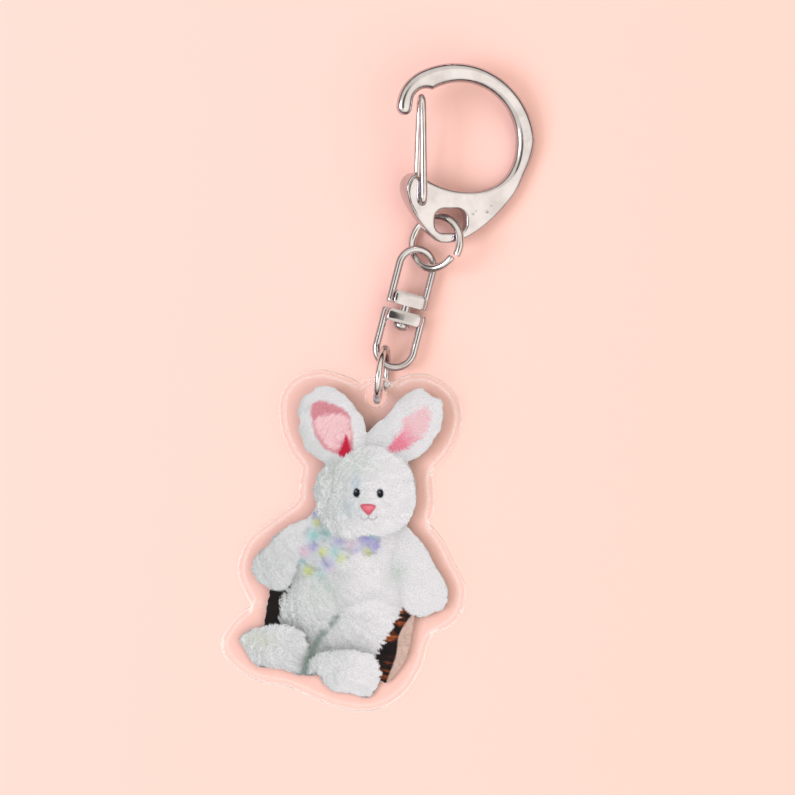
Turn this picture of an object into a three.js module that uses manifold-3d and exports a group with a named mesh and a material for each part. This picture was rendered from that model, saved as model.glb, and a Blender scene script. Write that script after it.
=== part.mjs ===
// A keychain lying on its back: a sprung snap hook, an open jump ring, a two-loop swivel, a second
// jump ring standing on its edge, and a clear acrylic charm with a picture printed on its back face.
// Millimetres, +Z up. Y runs along the chain, from the foot of the charm to the top of the hook.
import * as THREE from 'three';
import Module from 'manifold-3d';
import { mergeVertices } from 'three/addons/utils/BufferGeometryUtils.js';

// ---- driving dimensions -------------------------------------------------------------------------
const PLATE = { thickness: 2.4, bevel: 0.5 };
const BOW_OUTSIDE = { x: 0.93, y: 14.98, radius: 14.37, from: 115, to: 6 };
const BOW_INSIDE = { x: 1.8, y: 16.1, radius: 10.5, from: -10, to: 119 };
const NOSE = { x: -7.7, y: 22.1, radius: 1.3 };
const SLOT = { left: -2.95, right: 2.8, bottom: 0.55, top: 4.8, corner: 1.7 };
const EAR = { x: -6.75, low: 6.4, high: 9.8, halfWidth: 0.95, thickness: 5.2 };
const GATE = { x: -4.85, y: 5.95, reach: 18.1, wire: 1.15, hole: 1.8, footSpread: 2.45 };
const RING = { diameter: 9.2, wire: 1.2, gapDegrees: 8 };
const LOOP = { wire: 1.25, barDepth: 3.3, barCorner: 1.05, pinHole: 1.8 };
const UPPER_LOOP = { halfWidth: 3.08, barBottom: 0.6, barTop: 2.9, apex: 10.7 };
const LOWER_LOOP = { halfWidth: 3.3, barBottom: 0.5, barTop: 2.4, apex: 10.25 };
const RIVET = { shank: 1.5, neck: 1.9, head: 2.9, headTop: -2.55, headBottom: -3.8, play: 0.1 };
const CHARM = { clear: 2.5, film: 0.3, ink: 0.08, glueGap: 0.04, hole: 3.6 };

// Where each link lies. Lengths are from the middle of the charm's hole, at floor level.
const LAY = {
  hook: { at: [12.7, 27.9, 3.3], pitch: 7, roll: 15.5 },
  upperRing: { at: [10.3, 26.8, 3.3], rise: 31, towards: -15, gapAt: -20, step: 1.1 },
  swivel: { at: [5.05, 15.2, 2.5], turn: -14.5, upperRoll: 16, lowerRoll: 8 },
  lowerRing: { at: [1.0, 3.85, 5.22], rise: -85.1, towards: -5.8, gapAt: -33, step: -1.0 },
  charm: { at: [0, 0, 2.3], tilt: 2.4 },
};

// ---- materials ----------------------------------------------------------------------------------
const plated = (color) => new THREE.MeshStandardMaterial({ color, metalness: 1, roughness: 0.15 });
const nickel = plated(0xd9d9d8);
const brightWire = plated(0xe2e2e2);
const acrylic = new THREE.MeshStandardMaterial({ color: 0xf4f6f6, metalness: 0, roughness: 0.04 });
const printInk = new THREE.MeshStandardMaterial({ color: 0xcfd2d0, metalness: 0, roughness: 0.5 });
const whiteInk = new THREE.MeshStandardMaterial({ color: 0xf2f2f0, metalness: 0, roughness: 0.55 });

// ---- helpers ------------------------------------------------------------------------------------
const degrees = THREE.MathUtils.degToRad;
const wasm = await Module();
wasm.setup();

function toSolid(geometry) {
  const bare = geometry.clone();
  bare.deleteAttribute('normal');
  bare.deleteAttribute('uv');
  const merged = mergeVertices(bare, 1e-5);
  return new wasm.Manifold(new wasm.Mesh({
    numProp: 3,
    vertProperties: new Float32Array(merged.attributes.position.array),
    triVerts: new Uint32Array(merged.index.array),
  }));
}

function toGeometry(manifold) {
  const mesh = manifold.getMesh();
  const geometry = new THREE.BufferGeometry();
  geometry.setAttribute('position', new THREE.BufferAttribute(mesh.vertProperties, 3));
  geometry.setIndex(new THREE.BufferAttribute(mesh.triVerts, 1));
  return geometry;
}

function named(name, geometry, material) {
  const mesh = new THREE.Mesh(geometry, material);
  mesh.name = name;
  return mesh;
}

// A round wire bent along a curve, with a flat cut at each end.
function wireAlong(curve, diameter, steps, sides = 10) {
  const section = new THREE.Shape().absarc(0, 0, diameter / 2, 0, Math.PI * 2);
  return new THREE.ExtrudeGeometry(section, { extrudePath: curve, steps, curveSegments: sides / 2 });
}

function roundedRectangle(left, right, bottom, top, corner, path = new THREE.Shape()) {
  path.absarc(right - corner, bottom + corner, corner, -Math.PI / 2, 0);
  path.absarc(right - corner, top - corner, corner, 0, Math.PI / 2);
  path.absarc(left + corner, top - corner, corner, Math.PI / 2, Math.PI);
  path.absarc(left + corner, bottom + corner, corner, Math.PI, Math.PI * 1.5);
  path.closePath();
  return path;
}

const onCircle = ({ x, y, radius }, angle) => [
  x + radius * Math.cos(degrees(angle)), y + radius * Math.sin(degrees(angle)),
];

function addArc(path, { x, y, radius }, from, to) {
  path.absarc(x, y, radius, degrees(from), degrees(to), to < from);
}

// A plate of the given outline, centred on z = 0, its edges rounded inside the outline.
function roundedPlate(shape, thickness, bevel, curveSegments) {
  const geometry = new THREE.ExtrudeGeometry(shape, {
    depth: thickness - 2 * bevel, curveSegments, bevelEnabled: true, bevelSegments: 2,
    bevelThickness: bevel, bevelSize: bevel, bevelOffset: -bevel,
  });
  return geometry.translate(0, 0, bevel - thickness / 2);
}

// ---- snap hook ----------------------------------------------------------------------------------
// Drawn in the plane of the hook, with its origin in the middle of the bar below the slot.
function hookOutline() {
  const shape = new THREE.Shape();
  shape.moveTo(NOSE.x - NOSE.radius, NOSE.y);
  shape.bezierCurveTo(-9.0, 24.8, -7.4, 27.0, ...onCircle(BOW_OUTSIDE, BOW_OUTSIDE.from));
  addArc(shape, BOW_OUTSIDE, BOW_OUTSIDE.from, BOW_OUTSIDE.to);
  shape.bezierCurveTo(15.2, 10.6, 9.2, 3.2, 3.6, 0.1);
  shape.bezierCurveTo(1.6, -1.0, -1.1, -1.5, -2.3, -0.8);
  shape.bezierCurveTo(-4.7, 0.9, -6.4, 3.4, -7.3, 5.6);
  shape.bezierCurveTo(-8.1, 7.8, -8.0, 9.6, -7.2, 10.4);
  shape.bezierCurveTo(-6.4, 10.9, -5.2, 10.4, -4.0, 9.7);
  shape.quadraticCurveTo(-0.6, 7.6, 3.4, 7.6);
  shape.bezierCurveTo(8.0, 7.5, 11.3, 10.0, ...onCircle(BOW_INSIDE, BOW_INSIDE.from));
  addArc(shape, BOW_INSIDE, BOW_INSIDE.from, BOW_INSIDE.to);
  shape.bezierCurveTo(-4.6, 25.8, -5.9, 25.0, -6.2, 23.6);
  shape.lineTo(NOSE.x + NOSE.radius, NOSE.y);
  addArc(shape, NOSE, 0, -180);
  return shape;
}

function hookBody() {
  const outline = hookOutline();
  outline.holes.push(roundedRectangle(SLOT.left, SLOT.right, SLOT.bottom, SLOT.top, SLOT.corner,
    new THREE.Path()));
  const plate = toSolid(roundedPlate(outline, PLATE.thickness, PLATE.bevel, 8));
  const earOutline = roundedRectangle(EAR.x - EAR.halfWidth, EAR.x + EAR.halfWidth,
    EAR.low - EAR.halfWidth, EAR.high + EAR.halfWidth, EAR.halfWidth);
  const ear = toSolid(roundedPlate(earOutline, EAR.thickness, PLATE.bevel, 6));
  const drill = toSolid(new THREE.CylinderGeometry(GATE.hole / 2, GATE.hole / 2, 8, 20)
    .rotateX(Math.PI / 2).translate(GATE.x, GATE.y, 0));
  return toGeometry(plate.add(ear).subtract(drill));
}

// A hairpin of spring wire. Both feet turn into the hook's cross hole and the bend is the gate's tip.
function gateWire() {
  const side = (s) => [
    [0, 0, 0.4 * s],
    [0, 0.05, 1.9 * s],
    [-0.01, 0.8, GATE.footSpread * s],
    [-0.05, 4.0, 2.2 * s],
    [-0.1, 10.5, 1.6 * s],
    [-0.15, GATE.reach - 1.6, 0.85 * s],
    [-0.16, GATE.reach - 0.6, 0.62 * s],
  ];
  const points = [...side(1), [-0.16, GATE.reach, 0], ...side(-1).reverse()];
  const curve = new THREE.CatmullRomCurve3(points.map((p) => new THREE.Vector3(...p)), false, 'centripetal');
  return wireAlong(curve, GATE.wire, 84, 8);
}

// ---- jump rings ---------------------------------------------------------------------------------
// A ring of wire opened at one place, its two ends stepped apart sideways by about a wire's width.
class OpenRing extends THREE.Curve {
  constructor(diameter, gapAt, gapDegrees, step) {
    super();
    Object.assign(this, { radius: diameter / 2, gapAt, gapDegrees, step });
  }

  getPoint(t, target = new THREE.Vector3()) {
    const angle = degrees(this.gapAt + this.gapDegrees / 2 + t * (360 - this.gapDegrees));
    const x = this.radius * Math.cos(angle);
    const y = this.radius * Math.sin(angle);
    return target.set(x, y, this.step * (t - 0.5));
  }
}

function jumpRing(lay) {
  return wireAlong(new OpenRing(RING.diameter, lay.gapAt, RING.gapDegrees, lay.step), RING.wire, 56);
}

// ---- swivel -------------------------------------------------------------------------------------
// One half of the swivel: a U of wire closed by a bar with a hole for the pin. Its bar faces the
// middle of the swivel at y = barBottom and its bend is at y = apex.
function swivelHalf(size) {
  const archStart = size.apex - size.halfWidth;
  const u = new THREE.CurvePath();
  const legFoot = (size.barBottom + size.barTop) / 2;
  const w = size.halfWidth;
  const arch = [];
  for (let degree = 0; degree <= 180; degree += 15) {
    arch.push(new THREE.Vector3(-w * Math.cos(degrees(degree)), archStart + w * Math.sin(degrees(degree)), 0));
  }
  u.add(new THREE.LineCurve3(new THREE.Vector3(-w, legFoot, 0), arch[0]));
  u.add(new THREE.CatmullRomCurve3(arch));
  u.add(new THREE.LineCurve3(arch[arch.length - 1], new THREE.Vector3(w, legFoot, 0)));
  const wire = toSolid(wireAlong(u, LOOP.wire, 44));

  const barWidth = w + LOOP.wire / 2 + 0.02;
  const length = size.barTop - size.barBottom;
  const section = roundedRectangle(-barWidth, barWidth, -LOOP.barDepth / 2, LOOP.barDepth / 2, LOOP.barCorner);
  const bar = toSolid(roundedPlate(section, length, 0.3, 5)
    .rotateX(-Math.PI / 2).translate(0, size.barBottom + length / 2, 0));
  const bore = toSolid(new THREE.CylinderGeometry(LOOP.pinHole / 2, LOOP.pinHole / 2, 2 * size.barTop, 20)
    .translate(0, size.barBottom, 0));
  return wire.add(bar).subtract(bore);
}

function rivet() {
  const { shank, neck, head, headTop, headBottom, play } = RIVET;
  const neckBottom = play - LOWER_LOOP.barBottom;
  const neckTop = UPPER_LOOP.barBottom - play;
  const profile = [
    [0, headBottom], [0.32 * head, headBottom + 0.15], [0.48 * head, headBottom + 0.6],
    [0.5 * head, headTop - 0.2], [0.46 * head, headTop], [shank / 2, headTop],
    [shank / 2, neckBottom], [neck / 2, neckBottom], [neck / 2, neckTop], [shank / 2, neckTop],
    [shank / 2, UPPER_LOOP.barTop], [0, UPPER_LOOP.barTop],
  ];
  return new THREE.LatheGeometry(profile.map(([r, y]) => new THREE.Vector2(r, y)), 20);
}

// ---- acrylic charm ------------------------------------------------------------------------------
// Drawn in the plane of the charm with its origin in the middle of the hole. Each row is one bulge of
// the outline, from the dip before it to the dip after it, going round clockwise.
const EDGE_BULGES = [
  [[-12.9, -12.2], [-14.9, -9.4], [-16.6, -4.9], [-16.5, 0.4], [-13.8, 3.7], [-9.5, 4.8], [-5.2, 3.7], [-2.9, 2.6]],
  [[-2.9, 2.6], [-1.6, 3.3], [0, 3.5], [1.6, 3.2], [2.8, 2.5]],
  [[2.8, 2.5], [5.5, 3.9], [9.4, 3.8], [13.5, 1.0], [14.9, -3.5], [13.5, -8.5], [10.9, -11.9], [9.8, -12.8]],
  [[9.8, -12.8], [9.9, -15.0], [10.1, -17.5], [9.8, -20.2], [9.3, -22.0]],
  [[9.3, -22.0], [11.4, -24.4], [13.6, -28.7], [15.5, -32.8], [14.9, -37.5], [12.4, -40.2], [10.1, -41.0]],
  [[10.1, -41.0], [8.9, -43.4], [7.7, -47.4], [4.7, -51.8], [0.2, -54.4], [-5.0, -54.5], [-10.0, -52.8],
    [-15.4, -50.5], [-20.9, -49.3], [-25.3, -46.4], [-27.0, -42.6], [-24.6, -38.5], [-21.6, -36.1]],
  [[-21.6, -36.1], [-23.0, -33.5], [-24.1, -29.8], [-22.4, -24.8], [-18.4, -21.3], [-13.8, -17.8],
    [-13.4, -15.1], [-12.9, -12.2]],
];

// The same for the picture: ears, head, arms, feet and the wooden block behind it.
const PICTURE_BULGES = [
  [[-8.9, -11.5], [-11.9, -9.3], [-13.3, -4.8], [-12.9, -0.6], [-9.2, 1.9], [-4.8, -0.4], [-2.2, -3.8], [-1.7, -6.0]],
  [[-1.7, -6.0], [0.4, -4.2], [3.2, -1.3], [7.4, 1.5], [11.2, -0.8], [11.1, -5.5], [8.4, -9.5], [5.5, -11.3]],
  [[5.5, -11.3], [6.8, -15.3], [6.8, -19.1], [5.5, -22.4]],
  [[5.5, -22.4], [8.2, -25.5], [10.4, -29.6], [12.4, -34.0], [10.5, -37.3], [6.8, -38.1]],
  [[6.8, -38.1], [5.6, -44.4], [3.9, -47.5], [0.7, -49.4]],
  [[0.7, -49.4], [-1.4, -52.2], [-6.4, -51.5], [-10.4, -48.3]],
  [[-10.4, -48.3], [-15.0, -47.9], [-20.6, -46.8], [-23.6, -42.6], [-19.4, -39.8]],
  [[-19.4, -39.8], [-18.7, -36.5], [-18.2, -33.4]],
  [[-18.2, -33.4], [-21.6, -30.0], [-19.0, -25.9], [-15.5, -22.5], [-10.4, -19.1]],
  [[-10.4, -19.1], [-10.9, -15.6], [-8.9, -11.5]],
];

function bulgedShape(bulges) {
  const shape = new THREE.Shape();
  shape.moveTo(...bulges[0][0]);
  for (const bulge of bulges) {
    shape.splineThru(bulge.slice(1).map(([x, y]) => new THREE.Vector2(x, y)));
  }
  return shape;
}

// A flat layer from height low to height low + thickness.
function layer(shape, low, thickness, curveSegments) {
  return new THREE.ExtrudeGeometry(shape, { depth: thickness, bevelEnabled: false, curveSegments })
    .translate(0, 0, low);
}

// The layers rest on each other from the back film upwards, a hair of glue apart.
function charm() {
  const { clear, film, ink, glueGap, hole } = CHARM;
  const outline = () => {
    const shape = bulgedShape(EDGE_BULGES);
    shape.holes.push(new THREE.Path().absarc(0, 0, hole / 2, 0, Math.PI * 2));
    return shape;
  };
  const heights = [film, ink, ink].map((t, i, all) => all.slice(0, i + 1).reduce((a, b) => a + b + glueGap, 0));
  const group = new THREE.Group();
  group.add(
    named('charm_back_film', layer(outline(), 0, film, 5), acrylic),
    named('charm_white_ink', layer(bulgedShape(PICTURE_BULGES), heights[0], ink, 4), whiteInk),
    named('charm_picture_ink', layer(bulgedShape(PICTURE_BULGES), heights[1], ink, 4), printInk),
    named('charm_acrylic_plate', layer(outline(), heights[2], clear, 5), acrylic),
  );
  return group;
}

// ---- assembly -----------------------------------------------------------------------------------
function laid(at, ...meshes) {
  const group = new THREE.Group();
  group.position.set(...at);
  group.add(...meshes);
  return group;
}

function laidRing(name, lay) {
  const group = laid(lay.at, named(name, jumpRing(lay), brightWire));
  group.rotation.set(0, -degrees(lay.rise), degrees(lay.towards), 'ZYX');
  return group;
}

function keychain() {
  const gate = laid([GATE.x, GATE.y, 0], named('hook_gate', gateWire(), brightWire));
  const hook = laid(LAY.hook.at, named('hook_body', hookBody(), nickel), gate);
  hook.rotation.set(degrees(LAY.hook.pitch), degrees(LAY.hook.roll), 0);

  const upperLoop = named('swivel_upper_loop', toGeometry(swivelHalf(UPPER_LOOP)), nickel);
  const lowerLoop = named('swivel_lower_loop',
    toGeometry(swivelHalf(LOWER_LOOP).rotate([0, 0, 180])), nickel);
  upperLoop.rotation.y = degrees(LAY.swivel.upperRoll);
  lowerLoop.rotation.y = degrees(LAY.swivel.lowerRoll);
  const swivel = laid(LAY.swivel.at, upperLoop, named('swivel_rivet', rivet(), nickel), lowerLoop);
  swivel.rotation.z = degrees(LAY.swivel.turn);

  const plate = charm();
  plate.position.set(...LAY.charm.at);
  plate.rotation.x = degrees(LAY.charm.tilt);

  const chain = new THREE.Group();
  chain.add(hook, laidRing('upper_jump_ring', LAY.upperRing), swivel,
    laidRing('lower_jump_ring', LAY.lowerRing), plate);

  // the origin is under the middle of the whole keychain, on the surface that it lies on
  const box = new THREE.Box3().setFromObject(chain, true);
  const middle = box.getCenter(new THREE.Vector3());
  chain.position.set(-middle.x, -middle.y, -box.min.z);
  return chain;
}

export default keychain();
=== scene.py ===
import math

import bpy
import numpy as np
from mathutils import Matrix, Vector
from mathutils.geometry import delaunay_2d_cdt


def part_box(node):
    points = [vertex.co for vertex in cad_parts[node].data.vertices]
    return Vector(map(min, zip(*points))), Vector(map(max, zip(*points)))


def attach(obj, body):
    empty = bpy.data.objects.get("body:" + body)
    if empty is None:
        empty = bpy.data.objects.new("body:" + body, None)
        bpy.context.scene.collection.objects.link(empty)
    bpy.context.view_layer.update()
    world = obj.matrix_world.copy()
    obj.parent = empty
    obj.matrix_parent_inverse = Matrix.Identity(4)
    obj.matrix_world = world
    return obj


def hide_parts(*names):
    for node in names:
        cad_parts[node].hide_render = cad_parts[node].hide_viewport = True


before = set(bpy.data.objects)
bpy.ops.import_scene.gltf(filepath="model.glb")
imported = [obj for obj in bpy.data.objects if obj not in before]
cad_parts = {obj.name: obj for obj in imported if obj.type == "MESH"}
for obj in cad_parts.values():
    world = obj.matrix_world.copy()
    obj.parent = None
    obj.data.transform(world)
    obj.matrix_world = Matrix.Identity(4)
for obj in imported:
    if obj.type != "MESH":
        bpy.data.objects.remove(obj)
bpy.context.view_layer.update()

millimetre = 0.001
scene = bpy.context.scene

# Camera, light and the surface that the chain lies on.
studio = {
    "cameraOver": (0.003426, -0.001279), "cameraHeight": 0.3865, "lens": 100,
    "floorColour": (0.98, 0.60, 0.553), "floorSize": 0.8, "floorDrop": 0.00003,
    "keyFrom": (-1.08, -0.12, 1.0), "keyDistance": 1.6, "keySize": 0.75, "keyPower": 12.0,
    "keyColour": (0.84, 0.88, 1.0),
    # how bright the sky is at each height, from level with the floor (0) to straight up (1)
    "skyStrength": 1.31, "skyTint": (1.0, 0.98, 0.885),
    "skyStops": [(0.0, 0.02), (0.22, 0.05), (0.38, 0.34), (0.52, 0.78), (0.8, 0.94), (1.0, 0.97)],
    # a brighter round patch, from its soft rim to its middle, as cosines of the angle away from its direction
    "softboxTowards": (0.7, -0.4, 0.6), "softboxRim": (0.80, 0.88), "softboxGain": 0.34,
    # the dark patch straight overhead, where the camera and the person behind it are
    "cameraShade": (0.958, 0.977), "cameraShadeLeft": 0.08,
}


def newObject(name, data):
    made = bpy.data.objects.new(name, data)
    scene.collection.objects.link(made)
    return made


scene.view_settings.view_transform = "Standard"
camera = scene.camera = newObject("camera", bpy.data.cameras.new("camera"))
camera.data.lens = studio["lens"]
camera.data.clip_start, camera.data.clip_end = 0.01, 20
camera.location = (*studio["cameraOver"], studio["cameraHeight"])

keyLight = newObject("keyLight", bpy.data.lights.new("keyLight", "AREA"))
keyLight.data.size, keyLight.data.energy = studio["keySize"], studio["keyPower"]
keyLight.data.color = studio["keyColour"]
keyLight.location = Vector(studio["keyFrom"]).normalized() * studio["keyDistance"]
keyLight.rotation_mode = "QUATERNION"
keyLight.rotation_quaternion = (-keyLight.location).to_track_quat("-Z", "Y")  # towards the floor's middle


def feed(tree, node, inputs):
    # Sets each input, or links it where its value comes from another node.
    for name, value in inputs.items():
        if isinstance(value, bpy.types.NodeSocket):
            tree.links.new(value, node.inputs[name])
        else:
            node.inputs[name].default_value = value
    return node


def addNode(tree, kind, inputs=None, **settings):
    made = tree.nodes.new(kind)
    for name, value in settings.items():
        setattr(made, name, value)
    return feed(tree, made, inputs or {})


def noise(tree, place, scale, detail):
    return addNode(tree, "ShaderNodeTexNoise", {"Vector": place, "Scale": scale, "Detail": detail}).outputs[0]


def arithmetic(tree, operation, *values):
    return addNode(tree, "ShaderNodeMath", dict(enumerate(values)), operation=operation).outputs[0]


def eased(tree, value, span, ends):
    # An S-shaped change from the first end to the second, over a span of the value.
    return addNode(tree, "ShaderNodeMapRange", {
        "Value": value, "From Min": span[0], "From Max": span[1], "To Min": ends[0], "To Max": ends[1]},
        interpolation_type="SMOOTHSTEP").outputs["Result"]


def ramp(tree, factor, stops):
    # A colour ramp through (place, grey) stops.
    made = addNode(tree, "ShaderNodeValToRGB", {"Fac": factor})
    while len(made.color_ramp.elements) < len(stops):
        made.color_ramp.elements.new(0.5)
    for element, (place, grey) in zip(made.color_ramp.elements, stops):
        element.position, element.color = place, (grey, grey, grey, 1)
    return made.outputs["Color"]


def mixColour(tree, share, first, second, blend="MIX"):
    # A mix of two colours, each plain or from a socket.
    return addNode(tree, "ShaderNodeMix", {0: share, 6: first, 7: second},
                   data_type="RGBA", blend_type=blend).outputs[2]


def bump(tree, height, distance, strength=1.0, **normal):
    return addNode(tree, "ShaderNodeBump", {
        "Height": height, "Distance": distance, "Strength": strength, **normal}).outputs["Normal"]


def newGroup(name, numbers, results):
    # An empty shader node group that takes a place and plain numbers, and gives plain numbers.
    group = bpy.data.node_groups.new(name, "ShaderNodeTree")
    group.interface.new_socket("Vector", in_out="INPUT", socket_type="NodeSocketVector")
    for socketName, value in numbers.items():
        kind = "NodeSocketVector" if value is None else "NodeSocketFloat"
        made = group.interface.new_socket(socketName, in_out="INPUT", socket_type=kind)
        if value is not None:
            made.default_value = value
    for socketName in results:
        group.interface.new_socket(socketName, in_out="OUTPUT", socket_type="NodeSocketFloat")
    return group, group.nodes.new("NodeGroupInput").outputs, group.nodes.new("NodeGroupOutput")


def handlingMarksGroup():
    # Smears from fingers, as a slow change of roughness, and hairline scratches, as a height.
    group, given, result = newGroup(
        "handlingMarks", {"Smear Scale": 300.0, "Scratch Scale": 500.0, "Clean": 0.08, "Smeared": 0.2},
        ("Roughness", "Height", "Mask"))
    mask = ramp(group, noise(group, given["Vector"], given["Smear Scale"], 3.0), [(0.42, 0.0), (0.66, 1.0)])
    rough = addNode(group, "ShaderNodeMix", {
        "Factor": mask, "A": given["Clean"], "B": given["Smeared"]}).outputs["Result"]
    stretched = addNode(group, "ShaderNodeMapping", {
        "Vector": given["Vector"], "Rotation": (0.3, 0.2, 0.7), "Scale": (0.06, 1.0, 1.0)}).outputs[0]
    line = noise(group, stretched, given["Scratch Scale"], 2.0)
    scratch = ramp(group, line, [(0.60, 0.0), (0.64, 1.0), (0.67, 0.0)])
    feed(group, result, {"Roughness": rough, "Height": scratch, "Mask": mask})
    return group


def castingPitsGroup():
    # Small round pits, where the cells of a Voronoi pattern are picked by a slower noise and lie within
    # reach of a centre.
    group, given, result = newGroup("castingPits", {
        "Centre": None, "Reach": 0.002, "Cell Scale": 900.0, "Pit Size": 0.3}, ("Height", "Mask"))
    cells = addNode(group, "ShaderNodeTexVoronoi", {
        "Vector": given["Vector"], "Scale": given["Cell Scale"]}).outputs["Distance"]
    pit = eased(group, cells, (0.0, given["Pit Size"]), (1.0, 0.0))
    away = addNode(group, "ShaderNodeVectorMath", {
        0: given["Vector"], 1: given["Centre"]}, operation="DISTANCE").outputs["Value"]
    near = eased(group, away, (0.0, given["Reach"]), (1.0, 0.0))
    picked = ramp(group, noise(group, given["Vector"], 700.0, 1.0), [(0.45, 0.0), (0.55, 1.0)])
    mask = arithmetic(group, "MULTIPLY", arithmetic(group, "MULTIPLY", pit, near), picked)
    feed(group, result, {"Height": arithmetic(group, "MULTIPLY", mask, -1.0), "Mask": mask})
    return group


handlingMarks, castingPits = handlingMarksGroup(), castingPitsGroup()


def newMaterial(name):
    # A material with its Principled shader and its object coordinates.
    material = bpy.data.materials.new(name)
    material.use_nodes = True
    tree = material.node_tree
    tree.nodes.clear()
    shader = tree.nodes.new("ShaderNodeBsdfPrincipled")
    addNode(tree, "ShaderNodeOutputMaterial", {"Surface": shader.outputs[0]}, name="output")
    return material, tree, shader, tree.nodes.new("ShaderNodeTexCoord").outputs["Object"]


def handled(tree, place, smear, scratch, clean, smeared):
    return addNode(tree, "ShaderNodeGroup", {
        "Vector": place, "Smear Scale": smear, "Scratch Scale": scratch, "Clean": clean, "Smeared": smeared},
        node_tree=handlingMarks).outputs


plating = {
    "smearScale": 240.0, "scratchScale": 900.0, "waveScale": 420.0, "waveDepth": 0.00002,
    "pitDepth": 0.0003, "pitColour": (0.16, 0.14, 0.13, 1),
    "castNickel": {"bright": (0.54, 0.50, 0.52, 1), "dull": (0.46, 0.42, 0.43, 1),
                   "clean": 0.10, "smeared": 0.20, "scratchDepth": 0.000012},
    "brightWire": {"bright": (0.64, 0.60, 0.605, 1), "dull": (0.54, 0.495, 0.49, 1),
                   "clean": 0.08, "smeared": 0.16, "scratchDepth": 0.000010},
    "pits": {"Centre": (0.0182, 0.0323, 0.0045), "Reach": 0.0034, "Cell Scale": 1100.0, "Pit Size": 0.42},
}


def plateMetal(name, pits=None):
    # Bright plating: its colour dulls a little where it is smeared, and hairlines and pits cut into it.
    material, tree, shader, place = newMaterial(name)
    look = {**plating, **plating[name]}
    marks = handled(tree, place, look["smearScale"], look["scratchScale"], look["clean"], look["smeared"])
    colour = mixColour(tree, marks["Mask"], look["bright"], look["dull"])
    normal = bump(tree, marks["Height"], look["scratchDepth"], 0.5)
    normal = bump(tree, noise(tree, place, look["waveScale"], 1.0), look["waveDepth"], 0.6, Normal=normal)
    if pits:
        holes = addNode(tree, "ShaderNodeGroup", {"Vector": place, **pits}, node_tree=castingPits).outputs
        normal = bump(tree, holes["Height"], look["pitDepth"], 1.0, Normal=normal)
        colour = mixColour(tree, holes["Mask"], colour, look["pitColour"])
    feed(tree, shader, {"Base Color": colour, "Metallic": 1.0,
                        "Roughness": marks["Roughness"], "Normal": normal})
    return material


castNickel, brightWire = plateMetal("castNickel", plating["pits"]), plateMetal("brightWire")

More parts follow.
